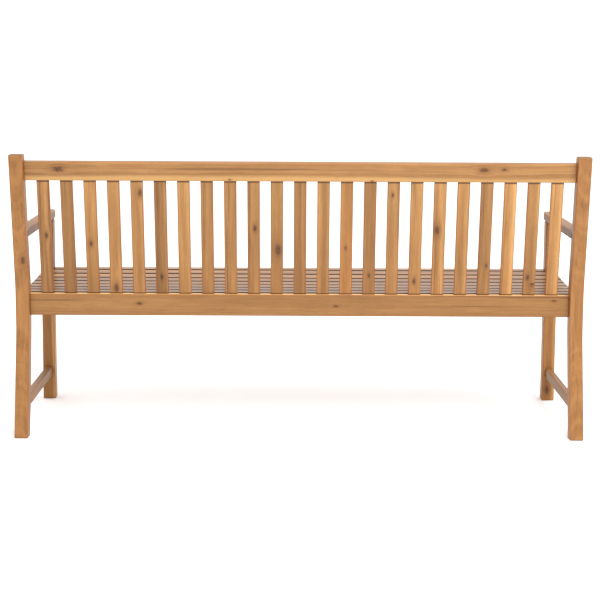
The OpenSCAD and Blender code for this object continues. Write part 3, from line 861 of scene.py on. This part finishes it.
def dishedBoard(node, rearY, frontY, places, seed, letter):
    # Rail under the seat slats: flat below, and its top follows the undersides of the slats
    low, high = corners(node)
    undersides = []
    for middle, tilt, _ in places[1:]:
        for end in (-1, 1):
            reach = end * seatSettings["slatWide"] / 2
            undersides.append([
                middle[1] + reach * math.cos(tilt) + seatSettings["slatThick"] / 2 * math.sin(tilt),
                middle[2] + reach * math.sin(tilt) - seatSettings["slatThick"] / 2 * math.cos(tilt)])
    undersides = np.array(sorted(undersides))
    length = rearY - frontY
    settings = dishSettings
    along, drawIn = stations(length, settings["step"], settings["endRound"], settings["endRound"])
    y = frontY + along
    top = np.interp(y, undersides[:, 0], undersides[:, 1]) - settings["clear"]
    halfHigh = (top - low[2]) / 2
    halfThick = (high[0] - low[0]) / 2
    x = (low[0] + high[0]) / 2
    centres = np.stack([np.full(len(y), x), y, low[2] + halfHigh], -1)
    vertices, faces = carried(
        centres, zAxis, xAxis, halfHigh - drawIn, halfThick - drawIn, settings["arris"])
    piece = meshObject(node + "_wood", vertices, faces)

    def measure(points):
        localTop = np.interp(points[:, 1], undersides[:, 0], undersides[:, 1])
        half = (localTop - low[2]) / 2
        fromMiddle = points[:, 2] - low[2] - half
        thick = points[:, 0] - x
        across = points[:, 2] - low[2] - settings["plankMiddle"]
        return (points[:, 1] - frontY, across, thick, fromMiddle, thick, half,
                np.full(len(points), halfThick), length)
    finishBoard(piece, node, measure, boardLook(letter, seed), railWood)


slatPlaces = seatSlatPlaces()
makeSeatSlats(slatPlaces)
print("seat made")

# Side frames

postSettings = {
    "kick": math.radians(10.2), "kickTop": 0.333, "leanStart": 0.475, "bend": 0.034,
    "deep": 0.042, "arris": 0.003, "footRound": 0.004, "topRound": 0.0048,
    "step": 0.014, "levels": 400,        # between rings, and how many heights the foremost place is sought at
}
joinSettings = {
    "intoLeg": 0.003, "intoPost": 0.004, "bearerIn": 0.002,   # how far a board runs on into its neighbour
    "legRounds": (0.004, 0.0006), "seam": 0.0008,             # rounding of a leg's ends, and at joints
    "stretcherArris": 0.003,
}
armSettings = {
    "arris": 0.006, "frontRound": 0.005, "frontDrop": 0.5, "sink": 0.010, "step": 0.016,
    "taper": 0.007, "reach": 0.0795,     # how far each side draws in, and over what length
}


def ramp(z, knee):
    # Zero below the knee, straight above it, and a parabola across the bend
    bend = postSettings["bend"]
    eased = (z - knee + bend) ** 2 / (4 * bend)
    return np.where(z < knee - bend, 0.0, np.where(z > knee + bend, z - knee, eased))


def forwardOf(z):
    # How far the rear face of a post stands in front of its heel, at a height
    z = np.asarray(z, float)
    heel = math.tan(postSettings["kick"]) * (z - ramp(z, postSettings["kickTop"]))
    return heel - math.tan(backSettings["lean"]) * ramp(z, postSettings["leanStart"])


def makePost(side, node, letter, seed, knots):
    # Section carried up the dog-leg: rear face at the heel's place less forwardOf(height)
    low, high = corners(node)
    levels = np.linspace(0, high[2], postSettings["levels"])
    heelY = low[1] + forwardOf(levels).max() + postSettings["deep"]
    x = (low[0] + high[0]) / 2
    halfWide = (high[0] - low[0]) / 2
    halfDeep = postSettings["deep"] / 2
    z, drawIn = stations(high[2], postSettings["step"], postSettings["footRound"],
                         postSettings["topRound"], 7)
    centres = np.stack([np.full(len(z), x), heelY - forwardOf(z) - halfDeep, z], -1)
    uneven = sway(z, seed + arrisSway["seedStep"])
    soft = postSettings["arris"] * (1 + arrisSway["posts"] * uneven)
    vertices, faces = carried(centres, xAxis, yAxis, halfWide - drawIn, halfDeep - drawIn, soft, 5)
    piece = meshObject(node + "_wood", vertices, faces)
    lift = holeSettings["seatRailBolts"]
    cutHoles(piece, [boltSink(side, topMiddle[1], topMiddle[2])] + [
        boltSink(side, seatRailMiddle[1], seatRailMiddle[2] + step) for step in (-lift, lift)])

    def measure(points):
        sideY = points[:, 1] - (heelY - forwardOf(points[:, 2]) - halfDeep)
        across = points[:, 0] - x
        half = np.ones(len(points))
        return (points[:, 2], across, points[:, 1] - heelY, across, sideY, half * halfWide,
                half * halfDeep, high[2])
    finishBoard(piece, node, measure, boardLook(letter, seed, knots), postWood)


def makeFrontLeg(side, node, armUnder, letter, seed, knots, darkTop):
    # Straight board up to the arm's underside, with sinks for the apron's bolts
    low, high = corners(node)
    start = np.array([(low[0] + high[0]) / 2, (low[1] + high[1]) / 2, 0.0])
    lift = holeSettings["apronBolts"]
    holes = [boltSink(side, apronMiddle[1], apronMiddle[2] + step) for step in (-lift, lift)]
    straightBoard(node, start, zAxis, armUnder, xAxis, yAxis, (high[0] - low[0]) / 2, (high[1] - low[1]) / 2,
                  boardLook(letter, seed, knots, darkTop=darkTop), postWood,
                  postSettings["arris"], joinSettings["legRounds"], holes=holes)


def postFrontY(node, z):
    # Front face of a post at a height: its foremost place plus how far it falls back from there
    low, high = corners(node)
    levels = np.linspace(0, high[2], postSettings["levels"])
    return low[1] + forwardOf(levels).max() - float(forwardOf(z))


def makeArm(node, post, letter, seed):
    # Rounded board whose sides draw in towards the front by taper * (1 - share of the reach) ** 2
    low, high = corners(node)
    rearY = postFrontY(post, high[2]) + armSettings["sink"]
    length = rearY - low[1]
    along, drawIn = stations(length, armSettings["step"], armSettings["frontRound"], joinSettings["seam"], 8)
    centres = np.stack([np.full(len(along), (low[0] + high[0]) / 2), low[1] + along,
                        np.full(len(along), (low[2] + high[2]) / 2)], -1)
    halfWide, halfThick = (high[0] - low[0]) / 2, (high[2] - low[2]) / 2
    start, reach = armSettings["frontRound"], armSettings["reach"]
    share = np.clip((along - start) / (reach - start), 0, 1)
    halfWideThere = halfWide - drawIn - armSettings["taper"] * (1 - share) ** 2
    halfThickThere = halfThick - armSettings["frontDrop"] * drawIn
    vertices, faces = carried(centres, xAxis, zAxis, halfWideThere, halfThickThere, armSettings["arris"], 6)
    piece = meshObject(node + "_wood", vertices, faces)
    measure = straightMeasure(centres[0], yAxis, xAxis, zAxis, length, halfWide, halfThick)
    finishBoard(piece, node, measure, boardLook(letter, seed), armWood)


def makeStretcher(node, post, frontY, letter, seed):
    # Straight board from the front leg into the post's front face
    low, high = corners(node)
    rearY = postFrontY(post, high[2]) + armSettings["sink"]
    start = np.array([(low[0] + high[0]) / 2, frontY, (low[2] + high[2]) / 2])
    straightBoard(node, start, yAxis, rearY - frontY, zAxis, xAxis, (high[2] - low[2]) / 2,
                  (high[0] - low[0]) / 2, boardLook(letter, seed), railWood,
                  joinSettings["stretcherArris"])


# Letters: shades of post, leg, arm, stretcher, side rail and bearer
sideSettings = {
    "left": {"side": -1, "letters": "mwmqmm", "seed": 310, "postKnots": [],
             "legKnots": [(0.06, 0.004, 0.007)], "darkTop": 0.0},
    # The right front leg's top above the seat is painted darker, as painted shade under its arm
    "right": {"side": 1, "letters": "mwqmqm", "seed": 330, "postKnots": [(0.625, -0.008, 0.006)],
              "legKnots": [], "darkTop": 0.55},
}


def makeSideFrame(word, side, letters, seed, postKnots, legKnots, darkTop):
    # Post, leg and arm, then the boards that run from front to rear between them
    post = "rear_post_" + word
    armUnder = corners("arm_" + word)[0][2]
    low, high = corners("front_leg_" + word)
    makePost(side, post, letters[0], seed, postKnots)
    makeFrontLeg(side, "front_leg_" + word, armUnder, letters[1], seed + 1, legKnots, darkTop)
    makeArm("arm_" + word, post, letters[2], seed + 2)
    frontY = high[1] - joinSettings["intoLeg"]
    makeStretcher("stretcher_" + word, post, frontY, letters[3], seed + 3)
    rearY = postFrontY(post, seatRailMiddle[2]) + joinSettings["intoPost"]
    dishedBoard("side_rail_" + word, rearY, frontY, slatPlaces, seed + 4, letters[4])
    rearY, frontY = seatRailLow[1] + joinSettings["bearerIn"], apronHigh[1] - joinSettings["bearerIn"]
    dishedBoard("bearer_" + word, rearY, frontY, slatPlaces, seed + 5, letters[5])


for word, settings in sideSettings.items():
    makeSideFrame(word, **settings)
print("side frames made:", len(pieces), "boards")

# Hardware keeps the frame's own meshes

for name in ("frame_bolts", "bolt_washers", "barrel_nuts", "seat_screws"):
    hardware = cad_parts[name]
    hardware.data.materials.clear()
    hardware.data.materials.append(plainSteel)
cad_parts["frame_dowels"].data.materials.clear()
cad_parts["frame_dowels"].data.materials.append(beech)

# Floor, light and camera

studioSettings = {
    "floorReach": 40.0, "floor": (254, 254, 254), "floorRough": 0.9,
    "world": 1.3, "worldTint": (255, 255, 255),
    "keyPower": 330.0, "keySize": 3.0, "keyPlace": (-1.6, 3.4, 4.4), "keyAim": (0.0, 0.0, 0.5),
}
cameraSettings = {
    "lens": 84.0, "sensor": 36.0, "shiftY": -0.1333,
    "aside": 0.0135, "behind": 4.298, "height": 1.2209,
    "turn": 0.0030, "tip": 0.1202, "roll": 0.0050,     # radians: to the right, down, and clockwise content
}


def makeStudio():
    # Pale floor, even white world and one large lamp
    reach = studioSettings["floorReach"]
    corner = np.array([[-reach, -reach, 0], [reach, -reach, 0], [reach, reach, 0], [-reach, reach, 0]])
    floor = meshObject("floor", corner, [[0, 1, 2, 3]])
    material, tree = newMaterial("pale floor")
    shader = addNode(tree, "BsdfPrincipled", {
        "Base Color": tint(*studioSettings["floor"]), "Roughness": studioSettings["floorRough"]})
    addNode(tree, "OutputMaterial", {0: shader.outputs[0]})
    floor.data.materials.append(material)
    scene = bpy.context.scene
    world = bpy.data.worlds.new("studio")
    world.use_nodes = True
    back = world.node_tree.nodes["Background"]
    back.inputs[0].default_value = tint(*studioSettings["worldTint"])
    back.inputs[1].default_value = studioSettings["world"]
    scene.world = world
    scene.view_settings.view_transform = "Standard"
    lamp = bpy.data.lights.new("key", "AREA")
    lamp.energy = studioSettings["keyPower"]
    lamp.size = studioSettings["keySize"]
    key = bpy.data.objects.new("key", lamp)
    place = np.array(studioSettings["keyPlace"])
    aim = np.array(studioSettings["keyAim"]) - place
    key.matrix_world = looking(place, aim / np.linalg.norm(aim), zAxis)
    scene.collection.objects.link(key)


def looking(place, forward, up):
    # Columns of the turn: right, up, and backwards, squared up by cross products
    right = np.cross(forward, up)
    right = right / np.linalg.norm(right)
    up = np.cross(right, forward)
    turn = np.eye(4)
    turn[:3, 0], turn[:3, 1], turn[:3, 2], turn[:3, 3] = right, up, -forward, place
    return Matrix(turn.tolist())


def makeCamera():
    # The view starts straight along -Y, turns right, tips down, and rolls against the content
    turn, tip, roll = (cameraSettings[key] for key in ("turn", "tip", "roll"))
    level = np.array([-math.sin(turn), -math.cos(turn), 0.0])
    right = np.array([-math.cos(turn), math.sin(turn), 0.0])
    forward = math.cos(tip) * level - math.sin(tip) * zAxis
    up = math.sin(tip) * level + math.cos(tip) * zAxis
    rolledUp = math.cos(roll) * up - math.sin(roll) * right
    behind = cadHigh[1] + cameraSettings["behind"]
    place = np.array([cameraSettings["aside"], behind, cameraSettings["height"]])
    data = bpy.data.cameras.new("camera")
    data.sensor_width = cameraSettings["sensor"]
    data.lens = cameraSettings["lens"]
    data.shift_y = cameraSettings["shiftY"]
    camera = bpy.data.objects.new("camera", data)
    camera.matrix_world = looking(place, forward, rolledUp)
    bpy.context.scene.collection.objects.link(camera)
    bpy.context.scene.camera = camera


makeStudio()
makeCamera()
print("studio made")
